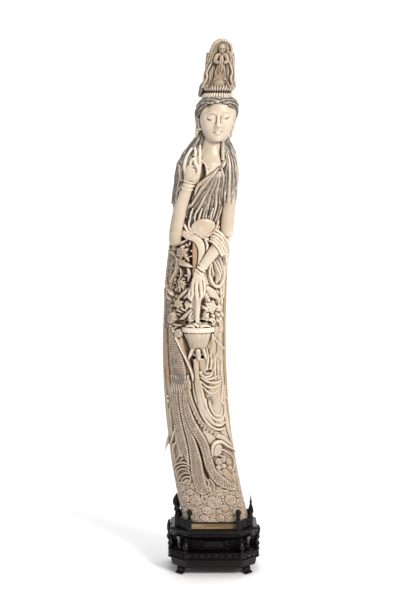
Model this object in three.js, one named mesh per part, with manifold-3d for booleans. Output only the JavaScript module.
// Guanyin carved from one bowed ivory tusk, standing on a two-tier dark hardwood stand.
// Millimetres, +Z up, the viewer at -Y; the origin is on the floor under the middle of the stand.

import * as THREE from 'three';
import { mergeVertices } from 'three/addons/utils/BufferGeometryUtils.js';
import Module from 'manifold-3d';

const wasm = await Module();
wasm.setup();

// Driving dimensions of the figure
const FIGURE_HEIGHT = 827;
// Half width of the tusk's foot, its reach backwards and the pleats there, in thousandths of its height
const TUSK_FOOT = 67;
const TUSK_BACK = 56;
const BACK_PLEAT = 3.5;
// Sideways bow of the tusk in thousandths of its height: a cubic in the height, 0 at the foot, 1 at the tip
const BOW = [4, -264, 448, -172];
// Corners that move the carved surface by less than this, in thousandths of the height, are dropped
const CARVING_TOLERANCE = 0.55;
const THINNING_PASSES = 8;
const FLIP_LIMIT = 0.3;

// Driving dimensions of the stand
const FIT_GAP = 0.3;
const FOOT_HEIGHT = 12.5;
const FOOT_WIDTH = 13;
const FOOT_REACH = 17;
const FOOT_TOE = 5;
const APRON_HEIGHT = 15.5;
const BAND_HEIGHT = 14.5;
const WAIST_HEIGHT = 19;
const CORNICE_HEIGHT = 18.5;
// Clear room from the tusk's foot to the side rails, and from its back and the seat to the rail behind them
const GALLERY_CLEARANCE = 4;
const BACK_CLEARANCE = 1.9;
const SEAT_CLEARANCE = 4.2;
// How far the lower tier stands out beyond the upper one at each end, and in front and behind
const TIER_STEP = 4;
const TIER_DEPTH_STEP = 5;
const LOWER_TIER_FRONT_EDGE = 100;
const LOWER_TIER_SIDE_EDGE = 68;
const UPPER_TIER_FRONT_EDGE = 88;
const UPPER_TIER_SIDE_EDGE = 62;
const WAIST = { width: 122, depth: 84, frontEdge: 49, sideEdge: 26 };
const BAND_RECESS = 2.5;
const APRON_INSET = 9;
const LEAF_PITCH = 14;
const SEAT_WIDTH = 82;
const SEAT_DEPTH = 94;
const SEAT_HEIGHT = 11;
const SEAT_LIP_INSET = 3;
const SEAT_LIP_HEIGHT = 1.4;
const POST_INSET = 5;
const SIDE_POST_INSET = 11.5;
const POST_WIDTH = 8.4;
const POST_HEIGHT = 23;
const RAIL_HEIGHT = 15;
const RAIL_THICKNESS = 3.6;
const RAIL_CREST = 2;
const BACK_RAIL_CREST = 13;
const CAP_HEIGHT = 17;
const BALL_RADIUS = 5;
const SPIRE_HEIGHT = 33;
const SPIRE_RADIUS = 5.2;
const BUD_HEIGHT = 23;
const BUD_RADIUS = 8.4;
const ONION_HEIGHT = 22;
const ONION_RADIUS = 4.8;
const ONION_INSET = 4.6;
const BRACKET_REACH = 3.5;
const BRACKET_DEPTH = 22;
const TURNED_SIDES = 8;
const ONION_SIDES = 6;

// Levels that follow from the heights
const apronBottom = FOOT_HEIGHT;
const bandBottom = apronBottom + APRON_HEIGHT;
const lowerTop = bandBottom + BAND_HEIGHT;
const waistTop = lowerTop + WAIST_HEIGHT;
const upperTop = waistTop + CORNICE_HEIGHT;
const seatTop = upperTop + SEAT_HEIGHT + SEAT_LIP_HEIGHT;
const figureFoot = seatTop + 2 * FIT_GAP;

// The upper tier holds the tusk's foot and the seat, the room round them, the rails and the ledge outside
const figureReach = FIGURE_HEIGHT * (TUSK_FOOT + BOW[0]) / 1000;
const figureBack = FIGURE_HEIGHT * (TUSK_BACK + BACK_PLEAT) / 1000;
const heldDepth = Math.max(figureBack + BACK_CLEARANCE, SEAT_DEPTH / 2 + SEAT_CLEARANCE);
const UPPER_TIER = {
  width: 2 * (figureReach + GALLERY_CLEARANCE + RAIL_THICKNESS / 2 + SIDE_POST_INSET),
  depth: 2 * (heldDepth + RAIL_THICKNESS / 2 + POST_INSET),
  frontEdge: UPPER_TIER_FRONT_EDGE,
  sideEdge: UPPER_TIER_SIDE_EDGE,
};
const LOWER_TIER = {
  width: UPPER_TIER.width + 2 * TIER_STEP,
  depth: UPPER_TIER.depth + 2 * TIER_DEPTH_STEP,
  frontEdge: LOWER_TIER_FRONT_EDGE,
  sideEdge: LOWER_TIER_SIDE_EDGE,
};

const ivory = () => new THREE.MeshStandardMaterial({ color: 0xd9c8a9, roughness: 0.42, metalness: 0 });
const hardwood = () => new THREE.MeshStandardMaterial({ color: 0x1c1214, roughness: 0.38, metalness: 0 });
const paleWood = () => new THREE.MeshStandardMaterial({ color: 0x9b8560, roughness: 0.6, metalness: 0 });

const vec = (x, y, z) => new THREE.Vector3(x, y, z);
const mix = THREE.MathUtils.lerp;
const rad = THREE.MathUtils.degToRad;

// Six times the volume that an indexed closed surface holds, negative when its faces point in
function signedVolume(position, index) {
  const [a, b, c] = [vec(), vec(), vec()];
  let sum = 0;
  for (let i = 0; i < index.count; i += 3) {
    a.fromBufferAttribute(position, index.getX(i));
    b.fromBufferAttribute(position, index.getX(i + 1));
    c.fromBufferAttribute(position, index.getX(i + 2));
    sum += a.dot(b.cross(c));
  }
  return sum;
}

function solid(geometry) {
  const bare = new THREE.BufferGeometry();
  bare.setAttribute('position', geometry.attributes.position);
  bare.setIndex(geometry.index);
  const merged = mergeVertices(bare);
  const faces = Uint32Array.from(merged.index.array);
  if (signedVolume(merged.attributes.position, merged.index) < 0) {
    for (let i = 0; i < faces.length; i += 3) {
      [faces[i + 1], faces[i + 2]] = [faces[i + 2], faces[i + 1]];
    }
  }
  const mesh = new wasm.Mesh({
    numProp: 3,
    vertProperties: Float32Array.from(merged.attributes.position.array),
    triVerts: faces,
  });
  return new wasm.Manifold(mesh);
}

const join = (solids) => solids.reduce((whole, piece) => whole.add(piece));

function geometryOf(manifold) {
  const mesh = manifold.getMesh();
  const geometry = new THREE.BufferGeometry();
  geometry.setAttribute('position', new THREE.BufferAttribute(mesh.vertProperties, mesh.numProp));
  geometry.setIndex([...mesh.triVerts]);
  return geometry;
}

// A cylinder whose every vertex is put where place(t, x, z) says: t runs along it, x and z round it
function bent(sides, steps, place) {
  const geometry = new THREE.CylinderGeometry(1, 1, 1, sides, steps);
  const position = geometry.attributes.position;
  for (let i = 0; i < position.count; i++) {
    const p = place(0.5 - position.getY(i), position.getX(i), position.getZ(i));
    position.setXYZ(i, p.x, p.y, p.z);
  }
  return solid(geometry);
}

// The faces of the largest closed shell alone: tiny pockets shut in between crossing folds are filled
function outerShell(points, faces) {
  const root = points.map((_, i) => i);
  const find = (i) => {
    let at = i;
    while (root[at] !== at) {
      root[at] = root[root[at]];
      at = root[at];
    }
    return at;
  };
  for (const [a, b, c] of faces) {
    root[find(b)] = find(a);
    root[find(c)] = find(a);
  }
  const size = new Map();
  for (const [a] of faces) size.set(find(a), (size.get(find(a)) ?? 0) + 1);
  const largest = [...size].reduce((best, entry) => (entry[1] > best[1] ? entry : best))[0];
  return faces.filter(([a]) => find(a) === largest);
}

const normalOf = (a, b, c) => b.clone().sub(a).cross(c.clone().sub(a)).normalize();

// Moves each corner that the surface hardly needs onto a neighbour, so that no face left behind turns
// over or leaves the old surface by more than the tolerance, and the shell stays closed.
function thinned(points, faces, tolerance) {
  const live = faces.map((face) => [...face]);
  const around = points.map(() => new Set());
  live.forEach((face, f) => face.forEach((v) => around[v].add(f)));
  const ringOf = (v) => new Set([...around[v]].flatMap((f) => live[f]).filter((w) => w !== v));
  const costOf = (from, to) => {
    const shared = [...around[from]].filter((f) => live[f].includes(to));
    const common = [...ringOf(from)].filter((w) => ringOf(to).has(w));
    if (shared.length !== 2 || common.length !== 2) return Infinity;
    let worst = 0;
    for (const f of around[from]) {
      const [a, b, c] = live[f].map((v) => points[v]);
      const old = normalOf(a, b, c);
      worst = Math.max(worst, Math.abs(points[to].clone().sub(points[from]).dot(old)));
      if (shared.includes(f)) continue;
      const moved = normalOf(...live[f].map((v) => points[v === from ? to : v]));
      if (!(moved.dot(old) > FLIP_LIMIT)) return Infinity;
    }
    return worst;
  };
  for (let pass = 0; pass < THINNING_PASSES; pass++) {
    const moves = [];
    for (let v = 0; v < points.length; v++) {
      for (const w of around[v].size ? ringOf(v) : []) {
        const cost = costOf(v, w);
        if (cost < tolerance * (pass + 1) / THINNING_PASSES) moves.push([cost, v, w]);
      }
    }
    moves.sort((p, q) => p[0] - q[0]);
    const touched = new Set();
    for (const [, v, w] of moves) {
      if (touched.has(v) || touched.has(w) || costOf(v, w) > tolerance) continue;
      for (const u of [v, ...ringOf(v)]) touched.add(u);
      for (const f of [...around[v]]) {
        if (live[f].includes(w)) {
          live[f].forEach((u) => around[u].delete(f));
          live[f] = null;
        } else {
          live[f] = live[f].map((u) => (u === v ? w : u));
          around[w].add(f);
        }
      }
      around[v].clear();
    }
  }
  return live.filter((face) => face);
}

// The figure is drawn upright in thousandths of its height, x across, y in depth, and bowed at the end

const bow = (h) => BOW.reduce((sum, factor, power) => sum + factor * (h / 1000) ** power, 0);

function onStand(p) {
  const unit = FIGURE_HEIGHT / 1000;
  return vec((p.x + bow(p.z)) * unit, p.y * unit, figureFoot + p.z * unit);
}

// Robed body: height, half width, depth in front, depth behind
const BODY_ROWS = [
  [0, TUSK_FOOT, 55, TUSK_BACK], [60, TUSK_FOOT, 56, 57], [200, 65, 55, 57], [340, 64, 51, 57],
  [430, 63, 48, 57],
  [520, 62, 47, 56], [600, 58, 47, 55], [660, 57, 47, 54], [720, 59, 45, 52], [745, 57, 37, 47],
  [765, 48, 25, 39], [785, 37, 15, 31], [800, 24, 12, 24],
];
const BODY_TOP = 800;
const FOOT_SQUARENESS = 0.16;
const FOOT_SQUARE_TOP = 130;
const BODY_SIDES = 16;
const BODY_STEPS = 13;

function bodyAt(h) {
  const last = BODY_ROWS.length - 1;
  const upper = Math.min(Math.max(BODY_ROWS.findIndex((row) => row[0] > h), 1), last);
  const k = h >= BODY_ROWS[last][0] ? last : upper;
  const [low, high] = [BODY_ROWS[k - 1], BODY_ROWS[k]];
  const t = THREE.MathUtils.clamp((h - low[0]) / (high[0] - low[0]), 0, 1);
  return { width: mix(low[1], high[1], t), front: mix(low[2], high[2], t), back: mix(low[3], high[3], t) };
}

// A place on the front of the robed body, lifted off it along the outward direction
function onBody(across, h, lift = 0) {
  const { width, front } = bodyAt(h);
  const sine = THREE.MathUtils.clamp(across / width, -0.97, 0.97);
  const cosine = Math.sqrt(1 - sine * sine);
  const out = vec(sine * front, -cosine * width, 0).normalize();
  const at = vec(sine * width, -cosine * front, h).addScaledVector(out, lift);
  return { at, out };
}

// A place on the front of an ellipsoid with the given middle and half axes
const onEllipsoid = (middle, half) => (across, h, lift = 0) => {
  const x = (across - middle.x) / half.x;
  const z = (h - middle.z) / half.z;
  const shrink = Math.min(1, 0.98 / Math.hypot(x, z));
  const y = -Math.sqrt(1 - (x * x + z * z) * shrink * shrink);
  const out = vec(x * shrink / half.x, y / half.y, z * shrink / half.z).normalize();
  const at = vec(x * shrink, y, z * shrink).multiply(half).add(middle).addScaledVector(out, lift);
  return { at, out };
};

// A raised fold, plume or bunch of locks that follows a surface along [across, height, lift] points.
// Its top has as many crests as ribs, and its width grows from the first value to the second.
function fold(points, { width, lift, sink = 5, steps = 4, ribs = 1, ends = 0.4, surface = onBody }) {
  const path = new THREE.CatmullRomCurve3(points.map(([across, h, raise = 0]) => vec(across, raise, h)));
  const [startWidth, endWidth] = [width].flat().length > 1 ? width : [width, width];
  const sides = 2 * ribs + 2;
  const place = (t) => {
    const p = path.getPoint(THREE.MathUtils.clamp(t, 0, 1));
    return surface(p.x, p.z, p.y);
  };
  return bent(sides, steps, (t, x, z) => {
    const { at, out } = place(t);
    const along = place(t + 0.02).at.sub(place(t - 0.02).at).normalize();
    const side = along.cross(out).normalize();
    const swell = mix(ends, 1, Math.sqrt(Math.sin(Math.PI * mix(0.02, 0.98, t))));
    if (Math.hypot(x, z) < 0.5) return at.addScaledVector(out, -sink * 0.3);
    const k = (Math.round(Math.atan2(x, z) / (2 * Math.PI) * sides) + sides) % sides;
    if (k === 2 * ribs + 1) return at.addScaledVector(out, -sink - 0.8);
    const across = (k / (2 * ribs) - 0.5) * mix(startWidth, endWidth, t) * swell;
    const isEdge = k === 0 || k === 2 * ribs;
    const rise = k % 2 === 1 ? lift * swell : isEdge ? 0 : lift * swell * 0.3;
    return at.addScaledVector(side, -across).addScaledVector(out, rise - 0.8);
  });
}

// A round limb through [x, y, z, radius] stations, flattened in depth by a factor
function limb(stations, { sides = 8, steps = 6, flat = 1 } = {}) {
  const path = new THREE.CatmullRomCurve3(stations.map(([x, y, z]) => vec(x, y, z)));
  const radii = new THREE.SplineCurve(stations.map(([, , , r], i) => new THREE.Vector2(i, r)));
  const facing = vec(0, 1, 0);
  return bent(sides, steps, (t, x, z) => {
    const at = path.getPoint(t);
    const side = path.getTangent(t).cross(facing).normalize();
    const radius = radii.getPoint(t).y;
    const front = side.clone().cross(path.getTangent(t)).normalize();
    return at.addScaledVector(side, x * radius).addScaledVector(front, z * radius * flat);
  });
}

// An ellipsoid with few faces, turned about the depth axis by an angle in degrees
function lump([x, y, z], [hx, hy, hz], { turn = 0, across = 8, down = 6 } = {}) {
  const geometry = new THREE.SphereGeometry(1, across, down);
  geometry.rotateX(Math.PI / 2);
  geometry.scale(hx, hy, hz);
  geometry.rotateY(rad(turn));
  geometry.translate(x, y, z);
  return solid(geometry);
}

// A pointed leaf or petal: an octahedron drawn out along its length
function leaf([x, y, z], [hx, hy, hz], turn = 0) {
  const geometry = new THREE.OctahedronGeometry(1);
  geometry.scale(hx, hy, hz);
  geometry.rotateY(rad(turn));
  geometry.translate(x, y, z);
  return solid(mergeVertices(bareOf(geometry)));
}

function bareOf(geometry) {
  const bare = new THREE.BufferGeometry();
  bare.setAttribute('position', geometry.attributes.position);
  return bare;
}

// The tusk is oval all the way up, and its front is cut squarer near the foot
function robedBody() {
  return bent(BODY_SIDES, BODY_STEPS, (t, x, z) => {
    const h = BODY_TOP * t;
    const { width, front, back } = bodyAt(h);
    const isFront = z > 0;
    const pleat = isFront ? 0 : BACK_PLEAT * Math.cos(BODY_SIDES / 2 * Math.atan2(x, z)) * (1 - 0.5 * t);
    const square = isFront ? FOOT_SQUARENESS * Math.max(0, 1 - h / FOOT_SQUARE_TOP) : 0;
    const reach = 1 + square * (2 * x * z) ** 2;
    return vec(x * (width + pleat) * reach, -z * (isFront ? front : back + pleat) * reach, h);
  });
}

// Head, hair and crown
const HEAD = { middle: vec(7, -9, 828), half: vec(35, 38, 50) };
const HAIR_CAP = { middle: vec(4, 3, 851), half: vec(43, 40, 39) };
const FACE_TURN = 8;
const onHead = onEllipsoid(HEAD.middle, HEAD.half);
const onHair = onEllipsoid(HAIR_CAP.middle, HAIR_CAP.half);

function head() {
  const skull = lump(HEAD.middle.toArray(), HEAD.half.toArray(), { across: 12, down: 10 });
  const middle = HEAD.middle.x + FACE_TURN * 0.6;
  const nose = fold([[middle, 843], [middle + 0.5, 828, 2], [middle + 1, 817, 4]],
    { width: 9, lift: 3.5, steps: 2, surface: onHead, ends: 0.7 });
  const lids = [-12, 12].map((across) => fold(
    [[middle + across - 7, 838], [middle + across, 835, 0.8], [middle + across + 7, 838]],
    { width: 8, lift: 3, steps: 2, surface: onHead }));
  const lips = fold([[middle - 6, 803], [middle + 0.5, 801, 1], [middle + 7, 803]],
    { width: 6, lift: 2.4, steps: 2, surface: onHead });
  const ears = [[-29, -4, 818], [43, -2, 820]].map((at) => lump(at, [4.5, 8, 24], { across: 6, down: 4 }));
  const neck = limb([[5, 0, 735, 25], [6, -1, 765, 21], [8, -2, 798, 22]], { sides: 8, steps: 2 });
  return [skull, nose, ...lids, lips, ...ears, neck];
}

function hairCap() {
  const cap = lump(HAIR_CAP.middle.toArray(), HAIR_CAP.half.toArray(), { across: 12, down: 8 });
  const bun = lump([-10, 16, 903], [26, 24, 26], { across: 8, down: 6 });
  const locks = [-1, 1].map((side) => fold(
    [[side * 12 + 5, 883], [side * 24 + 4, 871, 1], [side * 38 + 4, 846, 1]],
    { width: [12, 24], lift: 3.5, steps: 2, ribs: 2, surface: onHair, ends: 0.6 }));
  return [cap, bun, ...locks];
}

// Crown plaque: height, half width, depth in front, depth behind
const CROWN_ROWS = [
  [878, 27, 27, 20], [908, 31, 24, 20], [940, 31, 20, 17], [962, 30, 18, 15],
  [971, 25, 17, 14], [976, 21, 16, 13], [990, 17, 13, 10], [1000, 7, 5, 4],
];
const CROWN_MIDDLE = 1.5;
// Lotus seat: height, reach of the petal tips, reach between them
const LOTUS_ROWS = [
  [880, 28, 27], [883, 36, 31], [891, 30, 28], [894, 31, 28], [903, 37, 31], [906, 31, 28],
];
const PETALS = 12;

function crown() {
  const rows = CROWN_ROWS.length - 1;
  const plaque = bent(12, rows, (t, x, z) => {
    const [h, width, front, back] = CROWN_ROWS[Math.round(t * rows)];
    const square = 1 - 0.16 * Math.sin(2 * Math.atan2(Math.abs(z), Math.abs(x)) + 1e-9) ** 2;
    const y = -z * (z > 0 ? front : back);
    return vec(CROWN_MIDDLE + x * width / square, y / square, h);
  });
  const arch = limb([[-15, -16, 964, 4], [-13, -15, 984, 4], [3, -13, 993, 4], [18, -15, 984, 4],
    [19, -16, 964, 4]], { sides: 4, steps: 6 });
  const face = lump([3, -19, 974], [8, 8, 10], { across: 6, down: 5 });
  const robe = limb([[3, -17, 964, 6], [2, -19, 948, 11], [2, -21, 925, 14], [2, -23, 906, 21]],
    { sides: 6, steps: 3, flat: 0.55 });
  const sleeves = [-1, 1].map((side) => limb([[3 + side * 11, -18, 960, 4], [3 + side * 12, -22, 951, 5],
    [3, -29, 956, 3]], { sides: 4, steps: 2 }));
  const hands = leaf([3, -30, 959], [3, 2.5, 8]);
  const panel = leaf([1.5, -27, 933], [5, 4, 15]);
  const hems = [-1, 1].map((side) => limb([[3 + side * 12, -18, 948, 3], [3 + side * 16, -20, 930, 3.4],
    [3 + side * 25, -18, 906, 3.6]], { sides: 4, steps: 2 }));
  const petals = bent(2 * PETALS, LOTUS_ROWS.length - 1, (t, x, z) => {
    const [h, tip, gap] = LOTUS_ROWS[Math.round(t * (LOTUS_ROWS.length - 1))];
    const isTip = Math.round(Math.atan2(x, z) / Math.PI * PETALS) % 2 === 0;
    const reach = isTip ? tip : gap;
    return vec(CROWN_MIDDLE + x * reach, -z * reach * (z > 0 ? 0.94 : 0.76), h);
  });
  return [plaque, arch, face, robe, ...sleeves, hands, panel, ...hems, petals];
}

// Hair that falls over the shoulders and the chest
function longHair() {
  return [
    fold([[-22, 797, 5], [-38, 770, 5], [-52, 735, 3], [-56, 695, 2], [-56, 652]],
      { width: [16, 26], lift: 5, steps: 5, ribs: 3 }),
    fold([[35, 790, 5], [46, 756, 5], [51, 718, 4], [53, 680, 3], [57, 640, 1]],
      { width: [16, 26], lift: 5, steps: 5, ribs: 3 }),
    fold([[30, 770, 7], [31, 740, 6], [33, 700, 5], [38, 655, 4], [34, 620, 3]],
      { width: 12, lift: 5, steps: 4 }),
    fold([[24, 730, 2], [6, 710, 3], [-8, 682, 3], [-20, 648, 2]],
      { width: [12, 30], lift: 5, steps: 4, ribs: 3 }),
    fold([[27, 718, 3], [24, 686, 4], [17, 656, 4], [12, 628, 2]],
      { width: [14, 38], lift: 5, steps: 4, ribs: 4 }),
  ];
}

// Neckline, necklace, sash and the mantle that hangs down both sides
function dress() {
  const neckline = [
    [[-17, 779, 8], [-12, 752, 5], [-4, 730, 3], [8, 716, 2]],
    [[31, 779, 8], [30, 752, 5], [26, 728, 3]],
  ].map((points) => fold(points, { width: 7, lift: 4, steps: 3 }));
  const necklace = fold([[-9, 752, 6], [6, 738, 5], [24, 752, 6]], { width: 5, lift: 3.5, steps: 3 });
  const sash = [
    fold([[-40, 622, 2], [-21, 601, 4], [-3, 587, 4], [7, 565, 4], [6, 532, 2]],
      { width: [24, 16], lift: 5, steps: 5, ribs: 3 }),
    fold([[36, 624, 2], [28, 606, 3], [8, 594, 3]], { width: 14, lift: 5, steps: 3, ribs: 2 }),
    fold([[-11, 578, 1], [-9, 556, 1], [-9, 528, 1]], { width: 9, lift: 4, steps: 2 }),
  ];
  const mantle = [-1, 1].map((side) => fold(
    [[side * 56, 655, 2], [side * 60, 560, 3], [side * 62, 450, 3], [side * 62, 330, 2],
      [side * 61, 230, 1]], { width: 14, lift: 5, steps: 5 }));
  return [...neckline, necklace, ...sash, ...mantle];
}

function fingers(tracks, radius) {
  return tracks.map((track) => limb(track.map(([x, y, z], i) => [x, y, z, radius * (1 - 0.12 * i)]),
    { sides: 4, steps: 2 }));
}

const bangle = (from, to, radius) => limb([[...from, radius], [...to, radius]], { sides: 6, steps: 1 });

// The raised arm at the viewer's left, with the hand in front of the shoulder
function raisedArm() {
  const upper = limb([[-47, -14, 742, 12], [-54, -22, 680, 13], [-54, -30, 600, 12]],
    { sides: 6, steps: 2 });
  const fore = limb([[-49, -33, 588, 11], [-46, -41, 622, 15], [-41, -46, 660, 14.5], [-31, -53, 706, 10]],
    { steps: 3 });
  const cuff = bangle([-34, -51, 690], [-30.5, -53, 701], 12.5);
  const palm = limb([[-31, -52, 702, 10], [-31, -54, 716, 13.5], [-31, -54, 733, 12]],
    { sides: 6, steps: 2, flat: 0.55 });
  const raised = fingers([
    [[-41, -52, 722], [-45, -56, 742], [-44, -56, 764]],
    [[-38, -54, 728], [-38, -58, 752], [-34, -57, 778]],
    [[-30, -54, 730], [-27, -57, 754], [-27, -56, 778]],
    [[-21, -52, 708], [-15, -55, 732], [-16, -54, 757]],
  ], 4);
  return [upper, fore, cuff, palm, ...raised];
}

// The lowered arm at the viewer's right, with a sleeve that hangs from the elbow
function loweredArm() {
  const upper = limb([[47, -14, 742, 13], [52, -26, 690, 14.5], [52, -33, 640, 14], [54, -34, 592, 14]],
    { steps: 3 });
  const armlet = bangle([52, -32, 646], [52, -33, 653], 16);
  const fore = limb([[54, -36, 592, 14], [38, -43, 570, 14.5], [22, -48, 551, 12.5], [9, -52, 536, 10]],
    { steps: 3 });
  const cuff = bangle([19, -49, 548], [11, -52, 539], 13);
  const palm = limb([[9, -53, 538, 10], [6, -55, 520, 13], [5, -56, 502, 11]],
    { sides: 6, steps: 2, flat: 0.55 });
  const lowered = fingers([
    [[-3, -56, 512], [-8, -58, 492], [-6, -57, 470]],
    [[14, -56, 510], [17, -59, 490], [13, -58, 464]],
    [[8, -58, 508], [9, -62, 490], [7, -60, 468]],
  ], 4.2);
  const sleeve = [
    fold([[28, 590, 4], [42, 600, 6], [57, 588, 4], [60, 552, 2]],
      { width: 12, lift: 5, steps: 4, ribs: 2 }),
    fold([[20, 546, 3], [28, 520, 5], [42, 504, 5], [47, 524, 4], [38, 552, 3]],
      { width: 12, lift: 5, steps: 6, ribs: 2 }),
    fold([[57, 548, 3], [58, 510, 3], [54, 462, 1]], { width: 14, lift: 4.5, steps: 3, ribs: 2 }),
  ];
  return [upper, armlet, fore, cuff, palm, ...lowered, ...sleeve];
}

// Flower basket: height, half width, depth
const BASKET_ROWS = [[364, 14, 10], [384, 22, 14], [402, 28, 17], [402.5, 34, 20], [413, 34, 20]];
const BASKET_AT = [8, -41];

function basket() {
  const rows = BASKET_ROWS.length - 1;
  const tub = bent(12, rows, (t, x, z) => {
    const [h, width, depth] = BASKET_ROWS[Math.round(t * rows)];
    return vec(BASKET_AT[0] + x * width, BASKET_AT[1] - z * depth, h);
  });
  const handle = limb([[6, -56, 415, 5], [6, -57, 440, 4.2], [6, -58, 482, 4.2]], { sides: 6, steps: 2 });
  const feet = [-16, 0, 15].map((x) => leaf([8 + x, -49, 360], [4.5, 5, 10], x));
  return [tub, handle, ...feet];
}

// A blossom: a shallow star whose petals spread over the body round a sunken heart
const BLOSSOM_ROWS = [[0.45, 8.5], [1, 4.5], [0.9, -5]];
const HEART_DEPTH = 3;

function blossom([across, h], size, petals = 5) {
  return bent(2 * petals, BLOSSOM_ROWS.length - 1, (t, x, z) => {
    const isTip = Math.round(Math.atan2(x, z) / Math.PI * petals) % 2 === 0;
    const isHeart = Math.hypot(x, z) < 0.5 && t < 0.5;
    const [spread, lift] = BLOSSOM_ROWS[Math.round(t * (BLOSSOM_ROWS.length - 1))];
    const reach = size * (isTip ? 1 : 0.6) * spread;
    const { at, out } = onBody(across + x * reach, h + z * reach);
    return at.addScaledVector(out, isHeart ? lift - HEART_DEPTH : lift);
  });
}

// Blossoms, leaves and branches, with the pierced gaps between them
const PIERCED = [[-53, 577, 6.5], [-54, 541, 4.5], [-47, 520, 4.5]];

function garden() {
  const blossoms = [
    blossom([-36, 562], 17), blossom([-34, 462], 15), blossom([30, 446], 15),
    blossom([48, 442], 12, 4), blossom([-8, 434], 12, 4),
  ];
  const leaves = [
    [-22, 536, 16, 64], [-42, 430, 14, 8], [-29, 401, 10, 20], [-24, 493, 15, -35], [-19, 474, 9, 70],
    [-19, 430, 9, 40], [38, 426, 12, 60],
  ].map(([across, h, size, turn]) => {
    const { at } = onBody(across, h, 2.5);
    return leaf(at.toArray(), [size * 0.5, 5, size], turn);
  });
  const branches = [
    [[-57, 604, 2], [-46, 590, 3], [-24, 598, 2]],
    [[-60, 566, 2], [-57, 530, 3], [-54, 508, 2]],
    [[-36, 550, 2], [-40, 520, 3], [-50, 500, 2]],
  ].map((points) => fold(points, { width: 6, lift: 5, steps: 2 }));
  return [...blossoms, ...leaves, ...branches];
}

function piercings() {
  return PIERCED.map(([across, h, radius]) => {
    const { at } = onBody(across, h);
    const drill = new THREE.CylinderGeometry(radius, radius * 0.7, 30, 6);
    drill.scale(1, 1, 1.4);
    drill.translate(at.x, at.y, at.z);
    return solid(drill);
  });
}

// The phoenix at the left: crested head, neck, wing and the long tail that sweeps across the skirt
function phoenix() {
  const crest = blossom([-54, 492], 16, 4);
  const neck = fold([[-56, 482, 2], [-57, 445, 3], [-54, 404, 1]],
    { width: 20, lift: 5, steps: 3, ribs: 2 });
  const wing = fold([[-54, 412], [-47, 372, 1], [-40, 330, 1], [-36, 284]],
    { width: [24, 44], lift: 5, steps: 4, ribs: 3, ends: 0.6 });
  const edge = fold([[-44, 404, 3], [-27, 366, 4], [-8, 324, 2]], { width: 7, lift: 5, steps: 2 });
  const tail = [
    fold([[-24, 296], [-17, 246, 1], [-3, 194, 1], [6, 142, 1], [13, 100], [42, 62]],
      { width: [16, 20], lift: 4.5, steps: 7, ribs: 1, ends: 0.6 }),
    fold([[-16, 282, 1], [-13, 240, 2], [0, 204, 3], [24, 187, 3], [50, 176, 1]],
      { width: 12, lift: 4.5, steps: 5, ends: 0.6 }),
    fold([[-40, 288], [-38, 232, 1], [-28, 180, 1], [-20, 130, 1], [-18, 74]],
      { width: [28, 26], lift: 4.5, steps: 5, ribs: 2, ends: 0.6 }),
    fold([[-54, 280], [-52, 232], [-46, 184], [-36, 132]], { width: 13, lift: 4, steps: 4, ends: 0.6 }),
  ];
  const spur = fold([[-50, 204, 2], [-58, 180, 4], [-63, 148, 6]], { width: 9, lift: 4, steps: 2 });
  return [crest, neck, wing, edge, ...tail, spur];
}

// Skirt folds below the basket
function skirt() {
  return [
    fold([[1, 344, 1], [4, 300, 3], [8, 258, 3], [20, 225, 3], [44, 194, 1]],
      { width: [14, 16], lift: 5, steps: 6, ribs: 2 }),
    fold([[9, 322, 1], [24, 302, 3], [38, 304, 2], [50, 316, 1]],
      { width: [10, 22], lift: 5, steps: 4, ribs: 2 }),
    fold([[12, 300, 1], [33, 284, 3], [57, 292, 1]], { width: [8, 12], lift: 4.5, steps: 3 }),
    fold([[20, 246, 1], [30, 218, 3], [45, 218, 3], [57, 240, 1]],
      { width: 12, lift: 4.5, steps: 4, ribs: 2 }),
    fold([[42, 398, 1], [29, 366, 2], [27, 330, 1]], { width: 9, lift: 4, steps: 2 }),
    fold([[52, 400, 1], [50, 355, 2], [48, 308]], { width: [18, 24], lift: 4.5, steps: 3, ribs: 2 }),
    fold([[58, 290, 2], [57, 258, 3], [59, 200, 1]], { width: 9, lift: 4, steps: 2 }),
    fold([[22, 140, 1], [28, 166, 4], [43, 168, 4], [56, 146, 2]],
      { width: 14, lift: 5, steps: 4, ribs: 2 }),
    fold([[20, 130, 1], [34, 112, 4], [54, 104, 2]], { width: 12, lift: 5, steps: 3 }),
  ];
}

// Curling waves and clouds round the foot: across, height, radius, turns, start angle
const CURLS = [
  [4, 38, 18, 1.3, 200], [-34, 44, 16, 1.2, 20], [40, 30, 16, 1.2, 90], [-56, 92, 13, 1, 300],
  [38, 84, 14, 1, 150], [-54, 24, 13, 0.9, 70], [-14, 16, 11, 0.9, 130], [60, 62, 12, 0.9, 230],
];

function waves() {
  return CURLS.map(([across, h, radius, turns, start]) => {
    const points = [];
    const count = Math.ceil(turns * 6);
    for (let i = 0; i <= count; i++) {
      const angle = rad(start) + i / count * turns * 2 * Math.PI;
      const reach = radius * mix(1, 0.2, i / count);
      points.push([across + Math.cos(angle) * reach, h + Math.sin(angle) * reach, 1]);
    }
    return fold(points, { width: 8, lift: 4.5, steps: count, ends: 0.5 });
  });
}

function carvedShell(manifold) {
  const mesh = manifold.getMesh();
  const points = Array.from({ length: mesh.numVert },
    (_, i) => vec(...mesh.vertProperties.slice(i * mesh.numProp, i * mesh.numProp + 3)));
  const faces = Array.from({ length: mesh.numTri }, (_, f) => [...mesh.triVerts.slice(f * 3, f * 3 + 3)]);
  const kept = thinned(points, outerShell(points, faces), CARVING_TOLERANCE);
  const geometry = new THREE.BufferGeometry().setFromPoints(points.map(onStand));
  geometry.setIndex(kept.flat());
  return mergeVertices(geometry);
}

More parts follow.
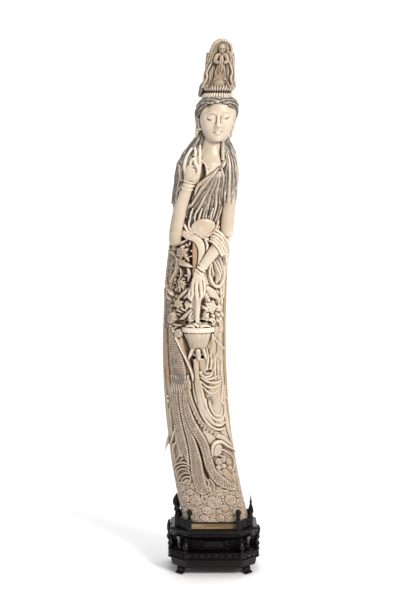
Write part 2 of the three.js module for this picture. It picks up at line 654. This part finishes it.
function figure() {
  const carved = join([
    robedBody(), ...head(), ...hairCap(), ...crown(), ...longHair(), ...dress(), ...raisedArm(),
    ...loweredArm(), ...basket(), ...garden(), ...phoenix(), ...skirt(), ...waves(),
  ]);
  const pierced = piercings().reduce((whole, hole) => whole.subtract(hole), carved);
  const room = new THREE.BoxGeometry(400, 400, 1100).translate(0, 0, 550);
  return carvedShell(pierced.intersect(solid(room)));
}

// Stand

// Corner of an eight-sided plan, its edges moved in by an inset; corner 0 is the left one in front
function corner(plan, k, inset = 0) {
  const [w, d, a, s] = [plan.width / 2, plan.depth / 2, plan.frontEdge / 2, plan.sideEdge / 2];
  const slant = Math.hypot(w - a, d - s);
  const front = [a - inset * (slant - (w - a)) / (d - s), d - inset];
  const side = [w - inset, s - inset * (slant - (d - s)) / (w - a)];
  const ring = [[-1, -1, front], [1, -1, front], [1, -1, side], [1, 1, side],
    [1, 1, front], [-1, 1, front], [-1, 1, side], [-1, -1, side]];
  const [signX, signY, [x, y]] = ring[(k + 8) % 8];
  return vec(signX * x, signY * y, 0);
}

// An eight-sided moulded block through [height, inset] stations
function moulded(plan, stations) {
  const steps = stations.length - 1;
  return bent(8, steps, (t, x, z) => {
    const [height, inset] = stations[Math.round(t * steps)];
    if (Math.hypot(x, z) < 0.5) return vec(0, 0, height);
    const k = Math.round(Math.atan2(x, z) / (Math.PI / 4));
    return corner(plan, k, inset).setZ(height);
  });
}

function lowerTier() {
  const block = moulded(LOWER_TIER, [
    [apronBottom, APRON_INSET], [apronBottom + 2, APRON_INSET - 2], [bandBottom - 2, 5],
    [bandBottom, 0], [bandBottom + 1.6, 0],
    [bandBottom + 2.4, BAND_RECESS], [lowerTop - 2.8, BAND_RECESS], [lowerTop - 2, 0],
    [lowerTop - FIT_GAP, 1],
  ]);
  const leaves = [];
  const middle = (bandBottom + lowerTop) / 2;
  for (let k = 0; k < 8; k++) {
    const from = corner(LOWER_TIER, k, BAND_RECESS);
    const to = corner(LOWER_TIER, k + 1, BAND_RECESS);
    const count = Math.floor(from.distanceTo(to) / LEAF_PITCH);
    const facing = Math.atan2(to.y - from.y, to.x - from.x);
    for (let i = 0; i < count; i++) {
      const at = from.clone().lerp(to, (i + 0.5) / count);
      const geometry = new THREE.OctahedronGeometry(1).scale(LEAF_PITCH * 0.46, 1.8, BAND_HEIGHT * 0.26);
      geometry.rotateZ(facing);
      geometry.translate(at.x, at.y, middle);
      leaves.push(solid(mergeVertices(bareOf(geometry))));
    }
  }
  return join([block, ...leaves]);
}

const waistBlock = () => moulded(WAIST, [
  [lowerTop, 0], [lowerTop + 3, 2], [waistTop - 4, 2], [waistTop - FIT_GAP, -1],
]);

const upperTier = () => moulded(UPPER_TIER, [
  [waistTop, 11], [waistTop + 3, 8], [upperTop - 7, 2.5], [upperTop - 4.6, 0.6], [upperTop - 2.4, 0],
  [upperTop - FIT_GAP, 1.2],
]);

function extruded(outline, depth, curveSegments) {
  const geometry = new THREE.ExtrudeGeometry(outline, { depth, bevelEnabled: false, curveSegments });
  geometry.translate(0, 0, -depth / 2);
  geometry.rotateX(Math.PI / 2);
  return geometryOf(solid(mergeVertices(bareOf(geometry))));
}

// A scrolled foot under a slanting face; it starts at the edge of the apron and turns its toe out
function foot() {
  const top = FOOT_HEIGHT - FIT_GAP;
  const outline = new THREE.Shape();
  outline.moveTo(-FOOT_REACH, top);
  outline.lineTo(0, top);
  outline.quadraticCurveTo(3.5, top * 0.75, 1, top * 0.45);
  outline.quadraticCurveTo(0.5, top * 0.25, FOOT_TOE, top * 0.15);
  outline.lineTo(FOOT_TOE, 0);
  outline.lineTo(-4, 0);
  outline.quadraticCurveTo(-5, top * 0.5, -9, top * 0.6);
  outline.quadraticCurveTo(3 - FOOT_REACH, top * 0.65, -FOOT_REACH, top);
  return extruded(outline, FOOT_WIDTH, 3);
}

// Turned pieces, as [radius, height] profiles
const ballProfile = [
  [0, 0], [POST_WIDTH / 2, 0], [POST_WIDTH / 2, POST_HEIGHT - 3], [2.8, POST_HEIGHT - 1],
  [4.2, POST_HEIGHT], [2.2, POST_HEIGHT + 2.4], [BALL_RADIUS * 0.9, POST_HEIGHT + 5],
  [BALL_RADIUS, POST_HEIGHT + 8], [BALL_RADIUS * 0.6, POST_HEIGHT + 12], [0, POST_HEIGHT + 15],
];
const spireProfile = [
  [0, 0], [POST_WIDTH / 2, 0], [POST_WIDTH / 2, POST_HEIGHT - 2], [3, POST_HEIGHT],
  [SPIRE_RADIUS, POST_HEIGHT + 2.4], [SPIRE_RADIUS * 0.86, POST_HEIGHT + 8],
  [1.9, POST_HEIGHT + SPIRE_HEIGHT * 0.52], [2.7, POST_HEIGHT + SPIRE_HEIGHT * 0.6],
  [1.4, POST_HEIGHT + SPIRE_HEIGHT * 0.68], [0, POST_HEIGHT + SPIRE_HEIGHT],
];
const budProfile = [
  [0, 0], [POST_WIDTH / 2, 0], [POST_WIDTH / 2, POST_HEIGHT - 5], [5.8, POST_HEIGHT - 2.5],
  [BUD_RADIUS * 0.8, POST_HEIGHT], [BUD_RADIUS, POST_HEIGHT + BUD_HEIGHT * 0.2],
  [BUD_RADIUS * 0.9, POST_HEIGHT + BUD_HEIGHT * 0.5], [BUD_RADIUS * 0.45, POST_HEIGHT + BUD_HEIGHT * 0.78],
  [0, POST_HEIGHT + BUD_HEIGHT],
];
const capProfile = [
  [0, 0], [POST_WIDTH / 2, 0], [POST_WIDTH / 2, CAP_HEIGHT - 3], [3, CAP_HEIGHT - 1.5], [0, CAP_HEIGHT],
];
const onionProfile = [
  [0, 0], [4.4, 0], [4.4, 1.8], [2.2, 3.6], [ONION_RADIUS, 8], [ONION_RADIUS * 0.8, 12],
  [1.5, 17], [0, ONION_HEIGHT],
];

function turned(profile, sides) {
  const lathe = new THREE.LatheGeometry(profile.map(([r, h]) => new THREE.Vector2(r, h)), sides);
  lathe.rotateX(Math.PI / 2);
  lathe.rotateZ(Math.PI / sides);
  return geometryOf(solid(lathe));
}

// A pierced gallery rail with a scalloped top, from post to post
function rail(length, crest) {
  const half = length / 2;
  const outline = new THREE.Shape();
  outline.moveTo(-half, 0);
  outline.lineTo(half, 0);
  outline.lineTo(half, RAIL_HEIGHT);
  outline.quadraticCurveTo(half * 0.7, RAIL_HEIGHT * 0.8, half * 0.45, RAIL_HEIGHT + crest * 0.4);
  outline.quadraticCurveTo(half * 0.2, RAIL_HEIGHT + crest, 0, RAIL_HEIGHT + crest);
  outline.quadraticCurveTo(-half * 0.2, RAIL_HEIGHT + crest, -half * 0.45, RAIL_HEIGHT + crest * 0.4);
  outline.quadraticCurveTo(-half * 0.7, RAIL_HEIGHT * 0.8, -half, RAIL_HEIGHT);
  for (const side of [-1, 1]) {
    const hole = new THREE.Path();
    const [x, y, reach] = [side * half * 0.42, RAIL_HEIGHT * 0.5, Math.min(half * 0.26, RAIL_HEIGHT * 0.5)];
    hole.moveTo(x - reach, y);
    hole.quadraticCurveTo(x, y + RAIL_HEIGHT * 0.44, x + reach, y);
    hole.quadraticCurveTo(x, y - RAIL_HEIGHT * 0.44, x - reach, y);
    outline.holes.push(hole);
  }
  return extruded(outline, RAIL_THICKNESS, 2);
}

// A carved scroll at each end, standing on the lower tier and leaning on the edge of the upper one.
// Each curve is [control reach, control height, end reach, end height]; reach is from the outer limit.
const SCROLL_CURVES = {
  left: [[1, 8, -4.5, 18], [-6, 24, -2.5, 31], [4, 38, -3, 44]],
  right: [[5.5, 16, -4, 33]],
};

function endBracket(curves) {
  const [inner, edge] = [WAIST.width / 2 + 4, UPPER_TIER.width / 2 + FIT_GAP];
  const outer = LOWER_TIER.width / 2 + BRACKET_REACH;
  const [low, board] = [lowerTop + FIT_GAP, waistTop - FIT_GAP];
  const outline = new THREE.Shape();
  outline.moveTo(inner, low);
  outline.lineTo(outer - 5, low);
  for (const [controlX, controlZ, endX, endZ] of curves) {
    outline.quadraticCurveTo(outer + controlX, lowerTop + controlZ, outer + endX, lowerTop + endZ);
  }
  outline.lineTo(edge, lowerTop + curves.at(-1)[3] - 2);
  outline.lineTo(edge, board);
  outline.lineTo(inner + 4, board);
  return extruded(outline, BRACKET_DEPTH, 3);
}

function seatBlock() {
  const bottom = upperTop + SEAT_HEIGHT / 2;
  const block = new THREE.BoxGeometry(SEAT_WIDTH, SEAT_DEPTH, SEAT_HEIGHT).translate(0, 0, bottom);
  const lip = new THREE.BoxGeometry(SEAT_WIDTH - 2 * SEAT_LIP_INSET, SEAT_DEPTH - 2 * SEAT_LIP_INSET,
    SEAT_LIP_HEIGHT * 2).translate(0, 0, upperTop + SEAT_HEIGHT);
  return solid(block).add(solid(lip));
}

const model = new THREE.Group();

function add(name, geometry, material, at = vec(0, 0, 0), turn = 0) {
  const mesh = new THREE.Mesh(geometry, material);
  mesh.name = name;
  mesh.position.copy(at);
  mesh.rotation.z = turn;
  model.add(mesh);
}

add('figure', figure(), ivory());
add('seat_block', geometryOf(seatBlock()), paleWood());
add('upper_tier', geometryOf(upperTier()), hardwood());
add('waist', geometryOf(waistBlock()), hardwood());
add('lower_tier', geometryOf(lowerTier()), hardwood());

const cornerNames = ['front_left', 'front_right', 'right_front', 'right_back', 'back_right', 'back_left',
  'left_back', 'left_front'];

// Feet stand under the four slanting faces, toes outwards
const footNames = ['front_right', 'back_right', 'back_left', 'front_left'];
footNames.forEach((name, i) => {
  const k = 2 * i + 1;
  const edge = corner(LOWER_TIER, k + 1).sub(corner(LOWER_TIER, k));
  const out = Math.atan2(-edge.x, edge.y);
  const [from, to] = [k, k + 1].map((end) => corner(LOWER_TIER, end, APRON_INSET));
  add(`foot_${name}`, foot(), hardwood(), from.lerp(to, 0.5), out);
});

// Posts stand on the upper tier and onion finials on the lower one, one at each corner
const postProfiles = [ballProfile, ballProfile, spireProfile, capProfile, ballProfile, ballProfile,
  budProfile, ballProfile];
const postAt = [];
for (let k = 0; k < 8; k++) {
  const isSide = cornerNames[k].startsWith('left') || cornerNames[k].startsWith('right');
  const at = corner(UPPER_TIER, k, isSide ? SIDE_POST_INSET : POST_INSET).setZ(upperTop);
  postAt.push(at);
  add(`post_${cornerNames[k]}`, turned(postProfiles[k], TURNED_SIDES), hardwood(), at);
  const low = corner(LOWER_TIER, k, ONION_INSET).setZ(lowerTop);
  add(`onion_${cornerNames[k]}`, turned(onionProfile, ONION_SIDES), hardwood(), low);
}

add('bracket_right', endBracket(SCROLL_CURVES.right), hardwood());
add('bracket_left', endBracket(SCROLL_CURVES.left), hardwood(), vec(0, 0, 0), Math.PI);

// Gallery rails run from post to post and leave the front open
const railNames = ['rail_front_right', 'rail_right', 'rail_back_right', 'rail_back', 'rail_back_left',
  'rail_left', 'rail_front_left'];
railNames.forEach((name, i) => {
  const [from, to] = [postAt[i + 1], postAt[(i + 2) % 8]];
  const length = from.distanceTo(to) - POST_WIDTH - 2 * FIT_GAP;
  const crest = name === 'rail_back' ? BACK_RAIL_CREST : RAIL_CREST;
  const at = from.clone().add(to).multiplyScalar(0.5);
  add(name, rail(length, crest), hardwood(), at, Math.atan2(to.y - from.y, to.x - from.x));
});

export default model;
